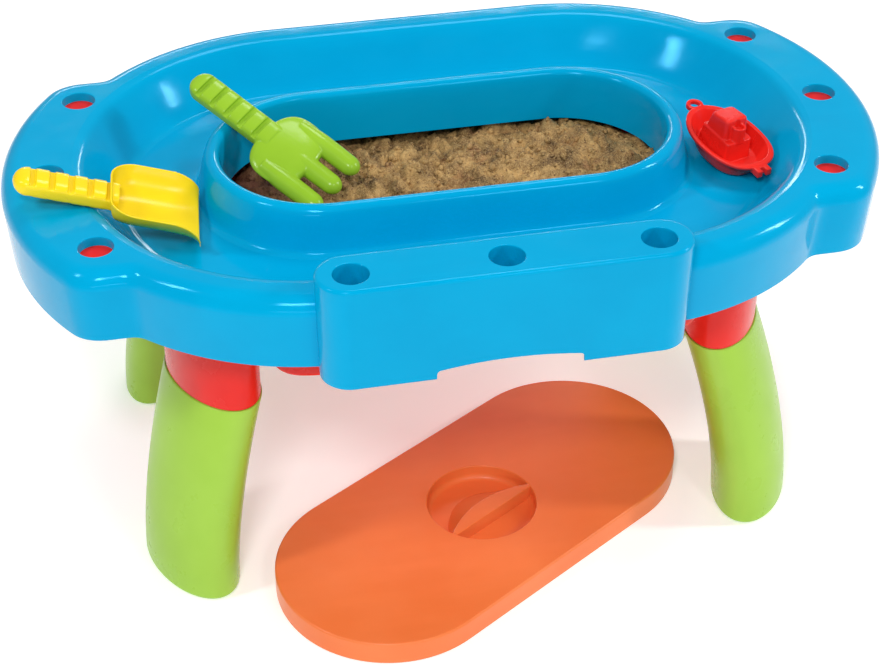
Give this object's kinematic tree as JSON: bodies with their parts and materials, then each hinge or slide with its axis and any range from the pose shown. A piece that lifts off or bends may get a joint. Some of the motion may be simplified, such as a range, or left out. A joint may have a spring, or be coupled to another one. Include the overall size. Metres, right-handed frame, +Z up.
{
  "type": "sand and water table",
  "caption": "Child's sand and water play table: moulded top with a sand pit in a water moat, bowed legs, a loose lid, and a spade, fork and boat.",
  "frame": {"origin": "centre of the whole set's bounding box, at floor level", "axes": "+X along the table's length, +Y from the front pad to the back, +Z up"},
  "size_m": [1.0664, 0.7428, 0.5017],
  "materials": {
    "table_top": "glossy moulded blue plastic",
    "sand_tub": "glossy moulded red plastic",
    "sand_fill": "damp crumbly sand",
    "end_tray_left": "glossy moulded red plastic",
    "end_tray_right": "glossy moulded red plastic",
    "leg_front_left": "moulded green plastic",
    "leg_socket_front_left": "glossy moulded red plastic",
    "leg_back_left": "moulded green plastic",
    "leg_socket_back_left": "glossy moulded red plastic",
    "leg_front_right": "moulded green plastic",
    "leg_socket_front_right": "glossy moulded red plastic",
    "leg_back_right": "moulded green plastic",
    "leg_socket_back_right": "glossy moulded red plastic",
    "socket_screw_1": "plated steel",
    "socket_screw_2": "plated steel",
    "socket_screw_3": "plated steel",
    "socket_screw_4": "plated steel",
    "tub_screw_1": "plated steel",
    "tub_screw_2": "plated steel",
    "tub_screw_3": "plated steel",
    "tub_screw_4": "plated steel",
    "tray_screw_1": "plated steel",
    "tray_screw_2": "plated steel",
    "tray_screw_3": "plated steel",
    "tray_screw_4": "plated steel",
    "lid": "moulded orange plastic",
    "spade": "glossy yellow plastic",
    "fork": "glossy lime green plastic",
    "boat": "glossy moulded red plastic",
    "boat_cabin": "glossy moulded red plastic",
    "boat_bow_ring": "glossy moulded red plastic"
  },
  "bodies": {
    "table": {"table_top": "table_top", "sand_tub": "sand_tub", "sand_fill": "sand_fill", "end_tray_left": "end_tray_left", "end_tray_right": "end_tray_right", "leg_front_left": "leg_front_left", "leg_socket_front_left": "leg_socket_front_left", "leg_back_left": "leg_back_left", "leg_socket_back_left": "leg_socket_back_left", "leg_front_right": "leg_front_right", "leg_socket_front_right": "leg_socket_front_right", "leg_back_right": "leg_back_right", "leg_socket_back_right": "leg_socket_back_right", "socket_screw_1": "socket_screw_1", "socket_screw_2": "socket_screw_2", "socket_screw_3": "socket_screw_3", "socket_screw_4": "socket_screw_4", "tub_screw_1": "tub_screw_1", "tub_screw_2": "tub_screw_2", "tub_screw_3": "tub_screw_3", "tub_screw_4": "tub_screw_4", "tray_screw_1": "tray_screw_1", "tray_screw_2": "tray_screw_2", "tray_screw_3": "tray_screw_3", "tray_screw_4": "tray_screw_4"},
    "lid": {"lid": "lid"},
    "spade": {"spade": "spade"},
    "fork": {"fork": "fork"},
    "boat": {"boat": "boat", "boat_cabin": "boat_cabin", "boat_bow_ring": "boat_bow_ring"}
  },
  "joints": [
    {"name": "lid_lift", "type": "slide", "parent": "table", "child": "lid", "axis": [0, -0.95, 0.3122], "range_m": [0, 0.5]},
    {"name": "spade_lift", "type": "slide", "parent": "table", "child": "spade", "axis": [0, 0, 1], "range_m": [0, 0.2]},
    {"name": "fork_lift", "type": "slide", "parent": "table", "child": "fork", "axis": [0, 0, 1], "range_m": [0, 0.2]},
    {"name": "boat_lift", "type": "slide", "parent": "table", "child": "boat", "axis": [0, 0, 1], "range_m": [0, 0.2]}
  ]
}
